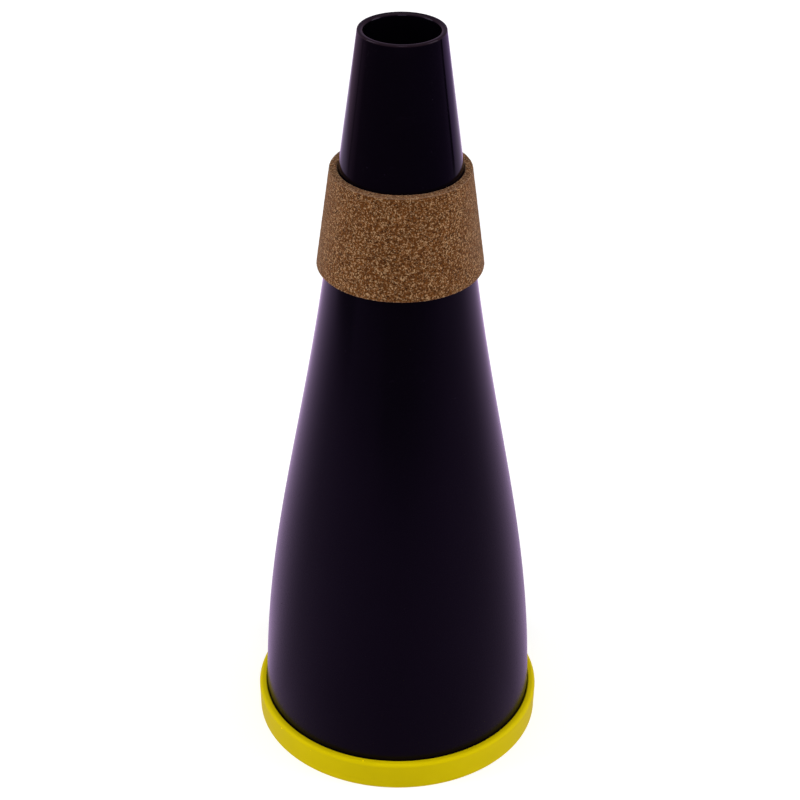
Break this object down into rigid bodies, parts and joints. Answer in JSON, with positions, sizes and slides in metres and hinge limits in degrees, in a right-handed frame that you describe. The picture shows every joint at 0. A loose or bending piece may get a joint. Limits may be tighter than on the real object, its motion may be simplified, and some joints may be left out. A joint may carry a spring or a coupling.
{
  "type": "practice mute",
  "caption": "Tapered hollow practice mute with a cork band round its neck and a push-on end cap that carries a vent tube, for damping the sound of a brass instrument",
  "frame": {"origin": "centre of the ring on the end cap's underside that the mute stands on", "axes": "+Z along the mute's axis, from the end cap to the open mouth; X and Y are alike, because the mute is round"},
  "size_m": [0.0906, 0.0906, 0.236],
  "materials": {
    "black_plastic": "polished moulded plastic",
    "cork_sheet": "agglomerated cork, sanded",
    "black_rubber": "matt moulded rubber",
    "grey_felt": "pressed felt",
    "yellow_plastic": "satin moulded plastic",
    "grey_plastic": "extruded plastic",
    "charcoal_foam": "open-cell foam"
  },
  "bodies": {
    "cap_insert": {"end_cap": "yellow_plastic", "vent_tube": "grey_plastic", "tube_plug": "black_rubber", "tube_grommet": "black_rubber", "base_foam": "charcoal_foam", "centring_foam": "charcoal_foam"},
    "mute_body": {"body_shell": "black_plastic", "neck_cork": "cork_sheet", "cap_seal": "black_rubber", "wall_liner": "grey_felt"}
  },
  "joints": [
    {"name": "cap_pull", "type": "slide", "parent": "cap_insert", "child": "mute_body", "axis": [0, 0, 1], "range_m": [0, 0.13]}
  ]
}
